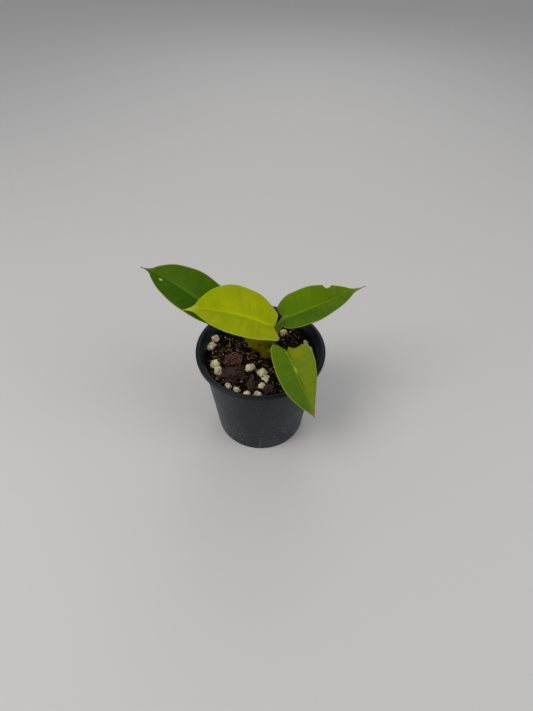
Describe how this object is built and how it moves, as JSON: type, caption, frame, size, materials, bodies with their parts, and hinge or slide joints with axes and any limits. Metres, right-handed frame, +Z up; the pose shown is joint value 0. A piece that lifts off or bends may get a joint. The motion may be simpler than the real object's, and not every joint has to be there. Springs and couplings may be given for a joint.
{
  "type": "imperial gold philodendron",
  "caption": "Young potted philodendron with heart-shaped gold and green leaves on slim stalks, in a round tapered nursery pot of bark and perlite mix.",
  "frame": {"origin": "centre of the pot's flat base, on the surface it stands on", "axes": "+Z up along the pot's axis; -Y towards the front of the plant as pictured; +X to the right, along which the leaves reach furthest"},
  "size_m": [0.1848, 0.1193, 0.1457],
  "materials": {
    "pot_plastic": "satin charcoal with a blue tinge, finely scuffed",
    "potting_mix": "matt, damp and crumbly, with cream-white perlite grains",
    "bark_brown": "matt red-brown bark",
    "bark_dark": "matt dark purple-brown bark",
    "stem_green": "smooth waxy olive green",
    "leaf_gold": "smooth waxy yellow-green",
    "leaf_dark_green": "smooth waxy green",
    "leaf_mid_green": "smooth waxy mid green with a yellow tip",
    "leaf_two_tone": "smooth waxy, green on one half and olive yellow on the other"
  },
  "bodies": {
    "root": {"pot": "pot_plastic", "soil": "potting_mix", "bark_chunk_brown": "bark_brown", "bark_chunk_dark": "bark_dark", "bark_chunk_front": "bark_dark", "bark_strip": "bark_brown", "stem": "stem_green", "leaf_gold": "leaf_gold", "leaf_back_left": "leaf_dark_green", "leaf_right": "leaf_mid_green", "leaf_front_right": "leaf_two_tone"}
  },
  "joints": []
}
